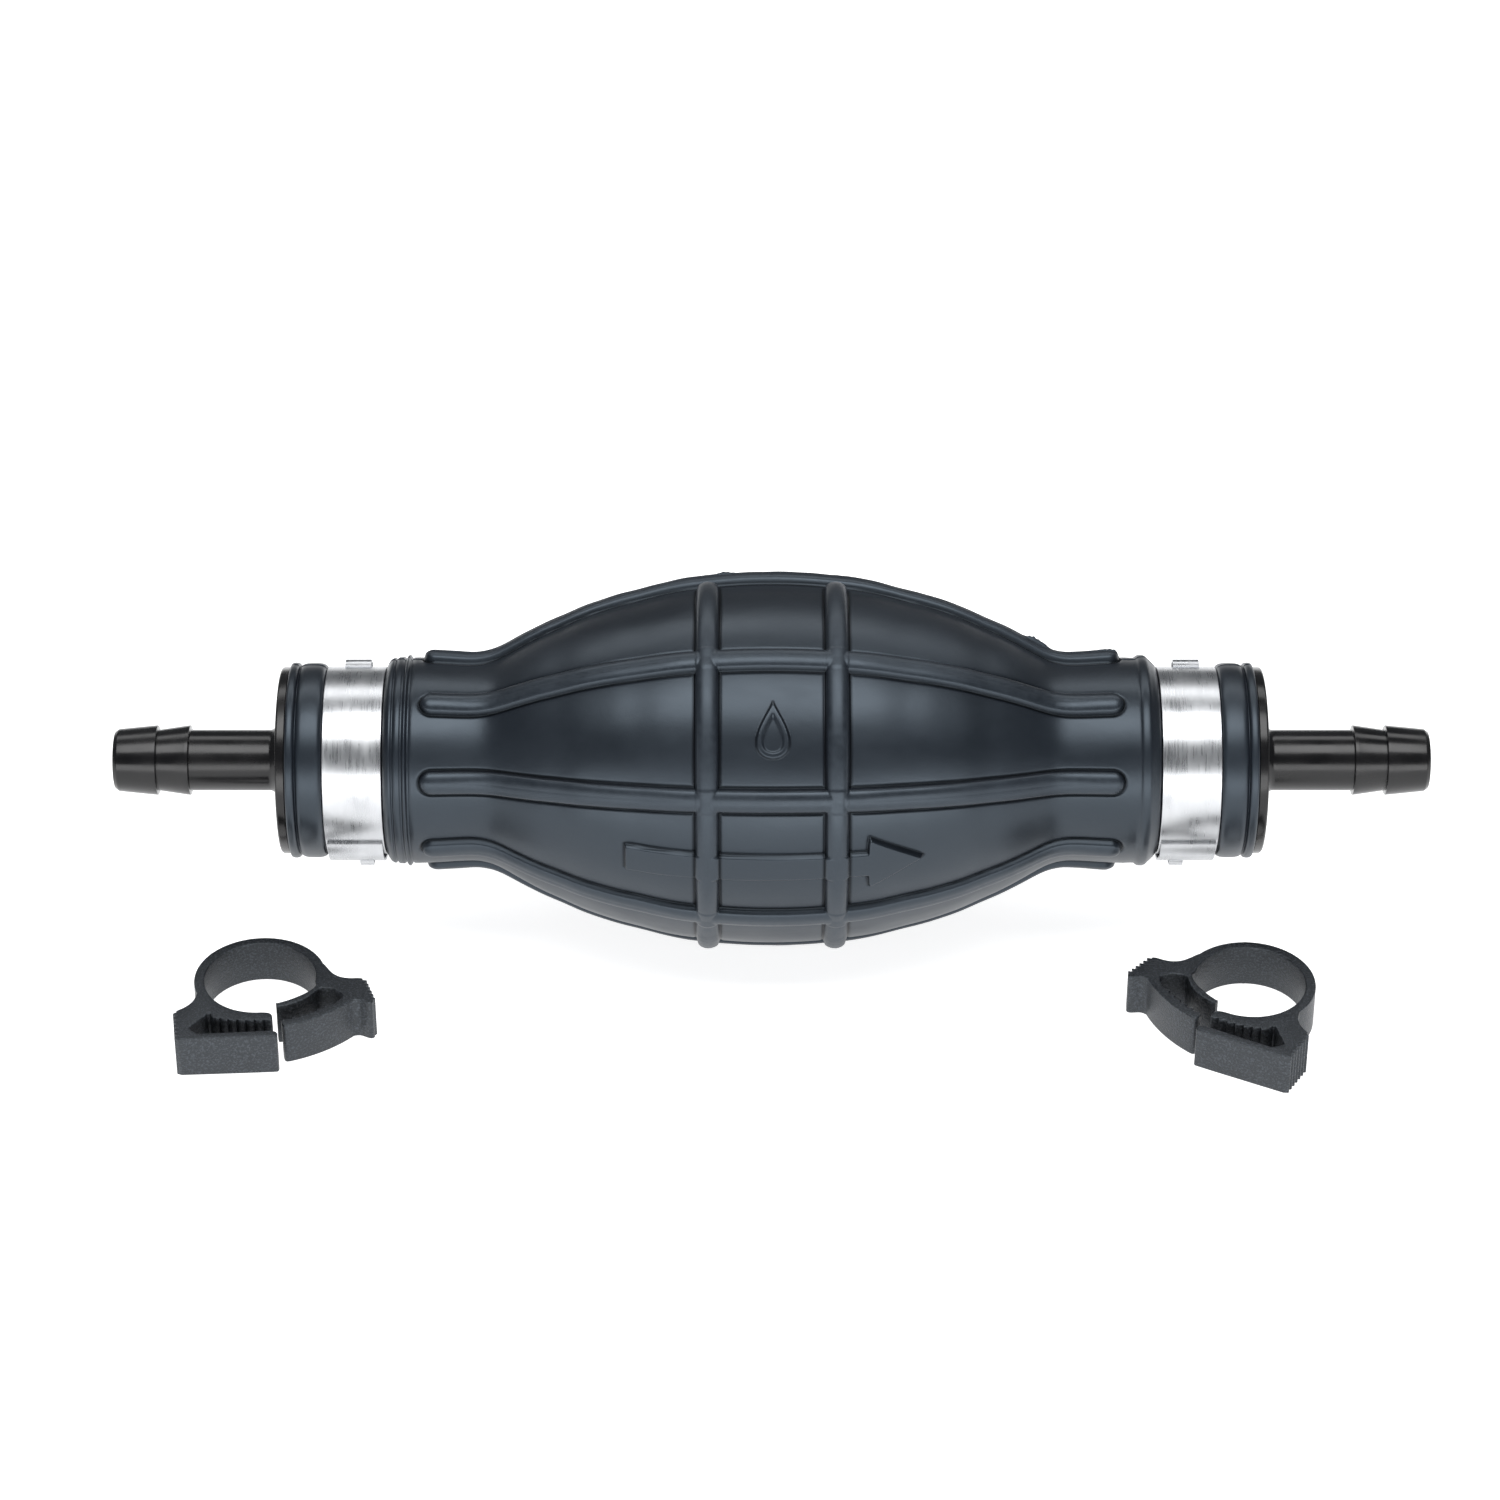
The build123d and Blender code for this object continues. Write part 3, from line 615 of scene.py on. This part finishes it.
def build_bulb():
    xs, th = x_stations(), angle_stations()
    X, T = np.meshgrid(xs, th, indexing="ij")
    R = base_radius(X)
    panel = R.copy()
    ridge = np.zeros_like(R)
    # the eight ribs
    rib = np.zeros_like(R)
    rib_r = np.zeros_like(R)
    seam = np.full_like(R, 99.0)
    foot = np.full_like(R, 99.0)
    for k in range(8):
        c = math.radians(22.5 + 45 * k)
        d = (T - c + math.pi) % (2 * math.pi) - math.pi
        s = np.abs(d) * (panel + 0.6)
        over = np.clip(np.abs(X) - (RIB_END - RIB_W), 0, None)
        here = half_round(np.hypot(s, over), RIB_W) * (np.abs(X) < 54)
        rib = np.maximum(rib, here)
        foot = np.minimum(foot, np.where(np.abs(X) < 54, np.abs(np.hypot(s, over) - RIB_W - 0.02), 99.0))
        parting = k in (1, 5)
        rib_r = np.maximum(rib_r, (RIB_H + (0.22 if parting else 0.0)) * here)
        if parting:
            seam = np.minimum(seam, s)
    # the two rings
    ring_r = np.zeros_like(R)
    low = smoothstep(1 - np.abs((T - math.radians(45) + math.pi) % (2 * math.pi) - math.pi) / math.radians(40))
    cap = np.clip(RING_W - (seam - RIB_W), 0, None)
    for c in (-RING_X, RING_X):
        height = RING_CREST - 0.55 * low - panel
        ring_r = np.maximum(ring_r, half_round(np.hypot(X - c, cap), RING_W) * height)
        ring_foot = np.abs(np.hypot(X - c, cap) - RING_W - 0.02)
        foot = np.where(ring_r > 0.25, 99.0, np.minimum(foot, ring_foot))
    # the panels are a little fuller between the ribs than a plain turned shape
    sector = np.abs(((T - math.radians(22.5)) % (math.pi / 4)) / (math.pi / 4) - 0.5) * 2
    crown = (1 - sector**2) * 0.22 * smoothstep((46 - np.abs(X)) / 14)
    flute = sector**4 * 0.16 * smoothstep((50 - np.abs(X)) / 8) * smoothstep((np.abs(X) - 12) / 6)
    shape = panel + crown - 0.10 * smoothstep((46 - np.abs(X)) / 14) - flute
    R = np.where(np.abs(X) < 54, shape, R)
    R = R + np.maximum(rib_r, ring_r)
    # the sharp crease along the foot of every rib and ring; the same mask is also kept as painted shade, which darkens
    # the rubber's colour there
    crease_and_painted_shade = np.exp(-((foot / 0.26) ** 2)) * (1 - smoothstep(np.maximum(rib, ring_r / 1.4) / 0.5))
    R = R - 0.14 * crease_and_painted_shade
    # the crease where a ring crosses a rib
    both = np.minimum(rib_r, ring_r)
    R = R + 0.10 * smoothstep(both / 1.0)
    ridge = np.clip(np.maximum(rib, ring_r / 1.4), 0, 1)
    # flow arrow on the front panel
    front = (T - math.pi + math.pi) % (2 * math.pi) - math.pi
    v = front * -panel  # up the panel
    arrow = [(-22.0, -2.05), (14.3, -1.9), (14.5, -4.3), (22.5, 0.05), (14.5, 4.3), (14.3, 1.9), (-22.0, 2.05)]
    near = np.abs(front) < 0.35
    v = np.where(near, v, 99)
    d = inside_polygon(X, v - 0.25, arrow)
    lift = smoothstep((d + 0.10) / 0.24) * 0.92
    R = R + lift * (1 - ridge) * near
    outline = np.exp(-(((d + 0.16) / 0.17) ** 2)) * near * (1 - ridge)
    R = R - 0.08 * outline
    # the arrow's outline groove is also given painted shade
    crease_and_painted_shade = np.maximum(crease_and_painted_shade, 0.8 * outline)
    # plain raised drop in the middle cell of the panel above it
    up = (T - math.radians(135.0) + math.pi) % (2 * math.pi) - math.pi
    w = -up * panel
    near = (np.abs(up) < 0.35) & (np.abs(X) < 7.6)
    w = np.where(near, w, 99)
    t = np.linspace(0, 2 * math.pi, 60, endpoint=False)
    drop = [(3.5 * math.sin(a) * math.sin(a / 2) ** 1.5, 4.3 * math.cos(a)) for a in t]
    d = inside_polygon(X - 0.1, w + 0.3, [(px, py) for px, py in drop])
    line = smoothstep((d + 0.10) / 0.22) * (1 - 0.75 * smoothstep((d - 0.80) / 0.24))
    R = R + line * 0.48 * near * (1 - ridge)
    # painted shade along the foot of the drop's raised edge, where the mesh has no groove
    crease_and_painted_shade = np.maximum(crease_and_painted_shade, 0.6 * np.exp(-(((d + 0.12) / 0.15) ** 2)) * near * (1 - ridge))
    # mould parting line: a thin flash along two opposite ribs, collars and necks
    for c in (22.5 + 45, 22.5 + 225):
        d = ((T - math.radians(c) + math.pi) % (2 * math.pi) - math.pi) * R
        torn = 0.55 + 0.45 * np.sin(X * 0.9) * np.sin(X * 0.37 + 1.3)
        flash = 0.15 * (0.5 + 0.5 * torn)
        if c < 90:
            rag = 0.5 + 0.5 * np.sin(X * 5.3) * np.sin(X * 2.9 + 0.7)
            flash = flash + (0.40 + 0.55 * rag) * smoothstep(1 - np.abs(X - 40.6) / 2.4) + 0.34 * smoothstep(1 - np.abs(X + 7.0) / 1.9) * (0.4 + 0.6 * rag) + 0.25 * smoothstep(1 - np.abs(X - 52.5) / 3.0) * rag
        R = R + flash * np.exp(-((d / 0.19) ** 2)) * (np.abs(X) < 73)
    # settled flats under the rings
    floor = PZ / np.maximum(-np.sin(T), 1e-3)
    under = -np.sin(T) > 0.5
    R = np.where(under, np.minimum(R, floor), R)

    verts = []
    nx, nt = R.shape
    outer = np.stack([X, PY + R * np.cos(T), PZ + R * np.sin(T)], -1).reshape(-1, 3)
    ix = np.concatenate([np.linspace(73.5, 50, 4)[:-1], np.linspace(50, -50, 50), np.linspace(-50, -73.5, 4)[1:]])
    ir = np.interp(np.abs(ix), CAVITY[:, 0], CAVITY[:, 1])
    ir = np.where(np.abs(ix) < 50, spline(CAVITY[:-1], np.clip(ix, -50, 50)), ir)
    IX, IT = np.meshgrid(ix, th, indexing="ij")
    IR = np.repeat(ir[:, None], nt, 1)
    inner = np.stack([IX, PY + IR * np.cos(IT), PZ + IR * np.sin(IT)], -1).reshape(-1, 3)
    allv = np.concatenate([outer, inner]) * MM
    total = nx + len(ix)
    faces = []
    for i in range(total):
        j = (i + 1) % total
        a = np.arange(nt)
        b = (a + 1) % nt
        faces.append(np.stack([i * nt + a, i * nt + b, j * nt + b, j * nt + a], -1))
    faces = np.concatenate(faces).astype(np.int32)
    me = bpy.data.meshes.new("bulb_moulding")
    me.vertices.add(len(allv))
    me.vertices.foreach_set("co", allv.astype(np.float32).reshape(-1))
    me.loops.add(faces.size)
    me.loops.foreach_set("vertex_index", faces.reshape(-1))
    me.polygons.add(len(faces))
    me.polygons.foreach_set("loop_start", np.arange(0, faces.size, 4, dtype=np.int32))
    me.polygons.foreach_set("loop_total", np.full(len(faces), 4, dtype=np.int32))
    me.update(calc_edges=True)
    me.validate()
    me.shade_smooth()
    ob = bpy.data.objects.new("bulb_moulding", me)
    bpy.context.scene.collection.objects.link(ob)
    # the crease mask is stored so that the rubber material can paint shade into the creases
    for key, values in (("ridge", ridge), ("crease_and_painted_shade", crease_and_painted_shade)):
        at = ob.data.attributes.new(key, "FLOAT", "POINT")
        at.data.foreach_set("value", np.concatenate([values.reshape(-1), np.zeros(inner.shape[0])]).astype(np.float32))
    return ob


bulb = build_bulb()
finish_piece(bulb, "bulb_rubber", None, ("bulb_body", "bulb_top_wall"))
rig.blend(bulb, "pump", "bulb_top", start=(0, PY * MM, (PZ + 16.6) * MM), end=(0, PY * MM, (PZ + 29.6) * MM))

# ================================================================ end fittings
FITTING = [
    (56.0, 9.02, 0.1), (56.0, 10.98, 0.3), (73.58, 10.98, 0.0), (73.58, 14.3, 0.12), (75.0, 14.3, 0.4), (75.0, 6.6, 0.25),
    (75.35, 5.6, 0.5), (76.6, 4.68, 1.2), (89.02, 4.68, 0.08), (89.1, 5.38, 0.10), (89.62, 5.34, 0.5), (94.02, 4.68, 0.08), (94.1, 5.38, 0.10), (94.65, 5.34, 0.6),
    (100.1, 4.80, 0.5), (100.7, 4.35, 0.3), (100.7, 3.2, 0.25), (72.0, 3.2, 0.2), (72.0, 9.02, 0.1),
]
for name, side in (("inlet_fitting", -1), ("outlet_fitting", 1)):
    outline = rounded([(side * x, r) for x, r, _ in FITTING], [c for _, _, c in FITTING], 5)
    ob = lathe(name + "_moulding", outline, 160)
    sharp_by_angle(ob, 40)
    finish_piece(ob, "fitting_plastic", "pump", (name,))

# ================================================================ band clamps
R_BAND = 13.66


def band(side, name):
    pieces = []
    x0, x1 = sorted((side * 58.9, side * 67.9))
    hoop = lathe(name + "_hoop", rounded([(x0, R_BAND), (x1, R_BAND), (x1, R_BAND + 0.69), (x0, R_BAND + 0.69)], 0.16, 4), 192)
    sharp_by_angle(hoop, 60)
    pieces.append(hoop)
    top = R_BAND + 0.69

    # second layer, standing off the hoop between its two joggles
    def layer(a):
        t = smoothstep((a - 207) / 13) * (1 - smoothstep((a - 250) / 12))
        return top + 0.22 + 0.62 * float(t)

    pieces.append(hoop_strip(name + "_overlap", x0 + 0.3, x1 - 0.3, np.linspace(205, 264, 60), layer, 0.42))

    # a hook pressed up from the strip at the top: square on one side, sloped on the other
    def hook(a):
        u = (a - 54.9) / 7.0
        return top + 0.02 + 0.92 * float(np.clip(1 - abs(u) ** 2.6, 0, 1))

    cx = side * 63.4 + 0.1
    pieces.append(hoop_strip(name + "_hook", cx - 2.0, cx + 2.0, np.linspace(47.6, 62.2, 30), hook, 0.36))

    # its small latch under the second layer
    def latch(a):
        u = (a - 234.9) / 5.2
        return top + 0.95 + 0.62 * float(np.clip(1 - abs(u) ** 2.2, 0, 1))

    lx = side * 62.0
    pieces.append(hoop_strip(name + "_latch", lx - 1.05, lx + 1.05, np.linspace(229.4, 240.4, 24), latch, 0.34))
    for ob in pieces[1:]:
        finish_piece(ob, "band_steel", "pump")
    finish_piece(hoop, "band_steel", "pump", (name,))


band(-1, "inlet_band")
band(1, "outlet_band")

# ================================================================ valve springs
def coil(name, joint):
    """A closing spring between the poppet's back and the cage: it shortens as the valve opens."""
    lo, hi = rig.box(name)
    x0, x1 = lo.x / MM - 0.01, hi.x / MM + 0.01
    wire, mean, turns, per, around = 0.2, 3.0, 4.0, 40, 12
    count = int(turns * per)
    line = []
    for i in range(count + 1):
        u = i / count
        a = 2 * math.pi * turns * u
        f = u - 0.5 * math.sin(2 * math.pi * u) / (2 * math.pi)
        line.append(Vector((x0 + 0.03 + wire + (x1 - x0 - 0.06 - 2 * wire) * f, PY + mean * math.cos(a), PZ + mean * math.sin(a))))
    verts, faces = [], []
    for i, p in enumerate(line):
        t = (line[min(i + 1, count)] - line[max(i - 1, 0)]).normalized()
        out = Vector((0, p.y - PY, p.z - PZ)).normalized()
        side = t.cross(out).normalized()
        for k in range(around):
            b = 2 * math.pi * k / around
            verts.append((p + out * (wire * math.cos(b)) + side * (wire * math.sin(b))) * MM)
    for i in range(count):
        for k in range(around):
            j = (k + 1) % around
            faces.append((i * around + k, i * around + j, (i + 1) * around + j, (i + 1) * around + k))
    faces.append(tuple(range(around)))
    faces.append(tuple(range(count * around, (count + 1) * around)))
    ob = new_object(name + "_coil", verts, faces)
    fix_normals(ob)
    sharp_by_angle(ob, 60)
    finish_piece(ob, "spring_steel", "pump", (name,))
    stroke = [j for j in frame["record"]["behaviour"]["joints"] if j["name"] == joint][0]["range_m"][1] / MM
    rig.squash(ob, joint, axis=(1, 0, 0), anchor=(x1 * MM, PY * MM, PZ * MM), keep=(x1 - x0 - stroke) / (x1 - x0))


coil("inlet_valve_spring", "inlet_valve_slide")
coil("outlet_valve_spring", "outlet_valve_slide")

# ================================================================ hose clips
CLIP_H = 7.0
BORE, RING = 8.45, 10.0
FLEX_A = 105.0
FLEX = (9.2 * math.cos(math.radians(FLEX_A)), 9.2 * math.sin(math.radians(FLEX_A)))
STEP = 3.85


def ring_at(r, a):
    return (r * math.cos(math.radians(a)), r * math.sin(math.radians(a)))


def jaw_at(r, a):
    return (FLEX[0] + r * math.cos(math.radians(a)), FLEX[1] + r * math.sin(math.radians(a)))


def ring_run(r, a, b, n):
    return [ring_at(r, a + (b - a) * k / n) for k in range(n + 1)]


def jaw_run(r, a, b, n):
    return [jaw_at(r, a + (b - a) * k / n) for k in range(n + 1)]


def serrated(p, q, n, depth):
    dx, dy = (q[0] - p[0]) / n, (q[1] - p[1]) / n
    long = math.hypot(dx, dy)
    nx, ny = dy / long * depth, -dx / long * depth
    out = []
    for k in range(n):
        bx, by = p[0] + dx * k, p[1] + dy * k
        out += [(bx + dx * 0.06, by + dy * 0.06), (bx + dx * 0.46 + nx, by + dy * 0.46 + ny), (bx + dx * 0.60 + nx, by + dy * 0.60 + ny), (bx + dx * 0.92, by + dy * 0.92)]
    return out + [q]


def saw(r_root, r_tip, a, step, n):
    out = []
    for k in range(n):
        out += [jaw_at(r_root, a + step * (k + 0.02)), jaw_at(r_tip, a + step * (k + 0.12)), jaw_at(r_tip, a + step * (k + 0.26)), jaw_at((r_root + r_tip) / 2, a + step * (k + 0.66))]
    return out + [jaw_at(r_root, a + step * n)]


def soften(points, times=1):
    """Corner cutting of an open run, ends kept."""
    for _ in range(times):
        out = [points[0]]
        for p, q in zip(points[:-1], points[1:]):
            out += [(0.75 * p[0] + 0.25 * q[0], 0.75 * p[1] + 0.25 * q[1]), (0.25 * p[0] + 0.75 * q[0], 0.25 * p[1] + 0.75 * q[1])]
        points = out + [points[-1]]
    return points


BEND = 38.0
BLOCK_SHIFT = (1.3, 0.15)
ARM_SHIFT = (0.45, 0.0)


def shifted(points, by):
    return [(x + by[0], y + by[1]) for x, y in points]


block_outline = (
    ring_run(BORE, FLEX_A + BEND, 275.0, 62)
    + soften([(1.3, -8.43), (1.9, -8.5), (2.35, -8.75), (2.6, -9.3)] + shifted([jaw_at(19.3, -78.9)], BLOCK_SHIFT), 2)
    + shifted(
        saw(19.35, 19.8, -79.0, -STEP, 7)
        + soften([(-7.95, -9.2), (-8.1, -8.95), (-8.45, -9.0), (-8.8, -9.5), (-10.9, -12.2), (-10.85, -12.6), (-9.7, -13.65), (-9.2, -13.78), (1.1, -13.0)], 2)
        + soften([(1.3, -13.0), (2.1, -13.2), (2.4, -13.6), (2.3, -14.2), (2.0, -14.4), (-12.2, -15.14)], 2),
        BLOCK_SHIFT,
    )
    + serrated((-11.0, -15.0), (-11.9, -8.4), 7, -0.55)
    + soften([(-11.95, -8.15), (-11.6, -7.8), (-11.0, -7.4), (-10.3, -6.7), (-9.72, -5.8), (-9.42, -4.8), (-9.32, -4.1)], 2)
    + ring_run(RING, 202.5, FLEX_A + BEND, 34)
)
arm_outline = (
    ring_run(BORE, FLEX_A - BEND, -6.0, 40)
    + shifted(
        soften([(8.15, -1.6), (8.0, -2.2), (7.4, -3.05), (6.4, -4.0), (5.0, -4.98), (3.7, -5.72), (2.42, -6.26)], 2)
        + [jaw_at(16.6, -72.6), jaw_at(16.72, -72.0)]
        + soften([jaw_at(16.85, -70.0), jaw_at(16.92, -66.0), jaw_at(16.9, -60.0), (7.2, -4.75), (8.1, -3.5), (8.6, -2.65), (9.4, -2.35), (10.8, -2.6), (12.35, -4.0), (12.4, -4.5), (12.0, -5.3), jaw_at(20.4, -47.6)], 2)
        + list(reversed(saw(20.4, 19.97, -72.2, STEP, 6)))
        + soften([jaw_at(20.3, -72.9), jaw_at(21.2, -73.15), jaw_at(21.68, -72.6), jaw_at(21.75, -71.2)], 2)
        + jaw_run(21.75, -70.0, -44.0, 20)
        + soften([(13.9, -5.55), (14.4, -5.4), (15.0, -5.45), (15.7, -5.85), (16.3, -6.15), (16.85, -6.15), (17.05, -5.75)], 2),
        ARM_SHIFT,
    )
    + serrated((17.4, -5.6), (15.6, -0.5), 6, 0.55)
    + soften([(15.55, -0.15), (15.1, 0.05), (13.6, -0.05), (12.3, 0.2), (11.2, 0.9), (10.4, 1.95), (9.85, 2.9), (9.53, 3.4)], 2)
    + ring_run(RING, 21.0, FLEX_A - BEND, 30)
)
bend_outline = ring_run(BORE, FLEX_A + BEND, FLEX_A - BEND, 40) + ring_run(RING, FLEX_A - BEND, FLEX_A + BEND, 40)


def clip_piece(name, outline, place, flip, caps, bevel=0.2):
    """A clip's plan raised to its height, with eased edges along its top and bottom, but none across its cut ends."""
    pts = [(-x, y) for x, y in outline] if flip else list(outline)
    keep = []
    for p in pts:
        if not keep or math.hypot(p[0] - keep[-1][0], p[1] - keep[-1][1]) > 0.02:
            keep.append(p)
    if math.hypot(keep[0][0] - keep[-1][0], keep[0][1] - keep[-1][1]) < 0.02:
        keep.pop()
    pts = keep
    n = len(pts)
    area = sum(pts[i][0] * pts[(i + 1) % n][1] - pts[(i + 1) % n][0] * pts[i][1] for i in range(n))
    if area < 0:
        pts.reverse()

    def is_cap(p):
        a = math.degrees(math.atan2(p[1], -p[0] if flip else p[0])) % 360
        return BORE - 0.02 < math.hypot(*p) < RING + 0.02 and any(abs(a - c) < 0.05 for c in caps)

    # how far each corner of the top and bottom faces is drawn in: less at small sharp corners, and along a cut end not at all
    P = np.array(pts)
    before, after = P - np.roll(P, 1, 0), np.roll(P, -1, 0) - P
    la, lb = np.linalg.norm(before, axis=1), np.linalg.norm(after, axis=1)
    u, v = before / la[:, None], after / lb[:, None]
    turn_by = np.abs(np.arctan2(u[:, 0] * v[:, 1] - u[:, 1] * v[:, 0], (u * v).sum(1)))
    reach = np.where(turn_by > math.radians(35), np.minimum(bevel, 0.32 * np.minimum(la, lb)), bevel)
    reach = np.minimum(reach, np.minimum(np.roll(reach, 1) + 0.35 * la, np.roll(reach, -1) + 0.35 * lb))
    nu, nv = np.stack([-u[:, 1], u[:, 0]], 1), np.stack([-v[:, 1], v[:, 0]], 1)
    ends = [is_cap(p) for p in pts]
    draw = np.zeros_like(P)
    for i in range(n):
        if ends[i]:
            # slides along the cut, so that the pieces of the ring still meet
            side = nu[i] if ends[(i + 1) % n] else nv[i]
            draw[i] = side * reach[i]
        else:
            m = nu[i] + nv[i]
            m = m / max(np.linalg.norm(m), 1e-6)
            draw[i] = m * reach[i] / max(float(m @ nu[i]), 0.6)
    bm = bmesh.new()
    rows = []
    for z, share in [(0, 1.0), (0.076, 0.617), (0.293, 0.293), (0.617, 0.076), (1.0, 0.0)]:
        rows.append((z * bevel, share))
    rows += [(CLIP_H - z, share) for z, share in reversed(rows)]
    rings = [[bm.verts.new(((P[i][0] + draw[i][0] * share) * MM, (P[i][1] + draw[i][1] * share) * MM, z * MM)) for i in range(n)] for z, share in rows]
    bm.faces.new(rings[0])
    bm.faces.new(rings[-1])
    for low, high in zip(rings[:-1], rings[1:]):
        for i in range(n):
            j = (i + 1) % n
            bm.faces.new((low[i], low[j], high[j], high[i]))
    bm.normal_update()
    bmesh.ops.triangulate(bm, faces=[f for f in bm.faces if len(f.verts) > 4])
    turn, at = place
    bm.transform(Matrix.Translation((at[0] * MM, (PY + at[1]) * MM, 0)) @ Matrix.Rotation(math.radians(turn), 4, "Z"))
    bmesh.ops.recalc_face_normals(bm, faces=bm.faces)
    me = bpy.data.meshes.new(name)
    bm.to_mesh(me)
    bm.free()
    ob = bpy.data.objects.new(name, me)
    bpy.context.scene.collection.objects.link(ob)
    sharp_by_angle(ob, 32)
    return ob


for side, flip, place in (("left", False, (0.0, (-77.6, -26.5))), ("right", True, (-23.9, (72.4, -27.56)))):
    block = clip_piece(side + "_clip_block_moulding", block_outline, place, flip, (FLEX_A + BEND,))
    finish_piece(block, "clip_nylon", side + "_clip", (side + "_clip_block",))
    arm = clip_piece(side + "_clip_arm_moulding", arm_outline, place, flip, (FLEX_A - BEND,))
    finish_piece(arm, "clip_nylon", side + "_clip_jaw", (side + "_clip_arm",))
    web = clip_piece(side + "_clip_web", bend_outline, place, flip, (FLEX_A + BEND, FLEX_A - BEND))
    finish_piece(web, "clip_nylon")
    turn, at = place
    c, s = math.cos(math.radians(turn)), math.sin(math.radians(turn))

    def world(p):
        x, y = (-p[0], p[1]) if flip else p
        return Vector(((at[0] + c * x - s * y) * MM, (PY + at[1] + s * x + c * y) * MM, 3.5 * MM))

    t = (math.sin(math.radians(FLEX_A)), -math.cos(math.radians(FLEX_A)))
    half = BORE * math.sin(math.radians(BEND)) - 0.1
    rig.blend(web, side + "_clip", side + "_clip_jaw", start=world((FLEX[0] - t[0] * half, FLEX[1] - t[1] * half)), end=world((FLEX[0] + t[0] * half, FLEX[1] + t[1] * half)))

# ================================================================ stage
ELEV = math.radians(35.1)
DIST = 746.0
toward = Vector((0, -math.cos(ELEV), math.sin(ELEV)))
upward = Vector((0, math.sin(ELEV), math.cos(ELEV)))
target = Vector((-3.3, PY, PZ)) + upward * 1.54
cam_data = bpy.data.cameras.new("camera")
cam_data.sensor_width = 36.0
cam_data.lens = 116.6
cam_data.clip_start = 0.05
cam_data.clip_end = 20
cam = bpy.data.objects.new("camera", cam_data)
bpy.context.scene.collection.objects.link(cam)
cam.location = (target + toward * DIST) * MM
cam.rotation_euler = (toward).to_track_quat("Z", "Y").to_euler()
bpy.context.scene.camera = cam

floor_mesh = bpy.data.meshes.new("table")
S = 3.0
floor_mesh.from_pydata([(-S, -S, 0), (S, -S, 0), (S, S, 0), (-S, S, 0)], [], [(0, 1, 2, 3)])
floor = bpy.data.objects.new("table", floor_mesh)
bpy.context.scene.collection.objects.link(floor)
fm = bpy.data.materials.new("table")
fm.use_nodes = True
fb = fm.node_tree.nodes["Principled BSDF"]
fb.inputs["Base Color"].default_value = (0.78, 0.78, 0.785, 1)
fb.inputs["Roughness"].default_value = 0.9
fb.inputs["Specular IOR Level"].default_value = 0.0
fb.inputs["Emission Color"].default_value = (1.0, 1.0, 1.0, 1)
fb.inputs["Emission Strength"].default_value = 0.80
floor_mesh.materials.append(fm)
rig.stage(floor)

world = bpy.data.worlds.new("world")
bpy.context.scene.world = world
world.use_nodes = True
bg = world.node_tree.nodes["Background"]
bg.inputs["Color"].default_value = (0.90, 0.95, 1.0, 1)
bg.inputs["Strength"].default_value = 0.16


def softbox(name, at, aim, size, radiance, colour=(1, 1, 1)):
    """A soft box whose face is as bright as radiance says, whatever its size."""
    data = bpy.data.lights.new(name, "AREA")
    data.shape = "RECTANGLE"
    data.size, data.size_y = size[0], size[1]
    data.energy = radiance * math.pi * size[0] * size[1]
    data.color = colour
    ob = bpy.data.objects.new(name, data)
    bpy.context.scene.collection.objects.link(ob)
    ob.location = at
    ob.rotation_euler = (Vector(at) - Vector(aim)).to_track_quat("Z", "Y").to_euler()
    return ob


def on_arc(elevation, distance, side=0.0):
    """A place on the arc over the pump: elevation 0 is the near side, 90 straight above, 180 the far side."""
    a = math.radians(elevation)
    return (side, PY * MM - distance * math.cos(a), PZ * MM + distance * math.sin(a))


heart = (0, PY * MM, PZ * MM)
softbox("top_box", on_arc(78, 0.75), heart, (0.90, 0.42), 5.2)
softbox("back_box", on_arc(127, 0.80), heart, (1.2, 0.24), 2.6)
softbox("front_box", on_arc(5, 0.80), heart, (1.7, 0.36), 4.0)

bpy.context.scene.view_settings.view_transform = "Standard"
bpy.context.scene.view_settings.look = "None"
bpy.context.scene.view_settings.exposure = 0.0

vis_lo, vis_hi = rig.bounds()
with open("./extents.json", "w") as f:
    json.dump({"cad": [cad_lo, cad_hi], "visual": [[float(v) for v in vis_lo], [float(v) for v in vis_hi]]}, f)
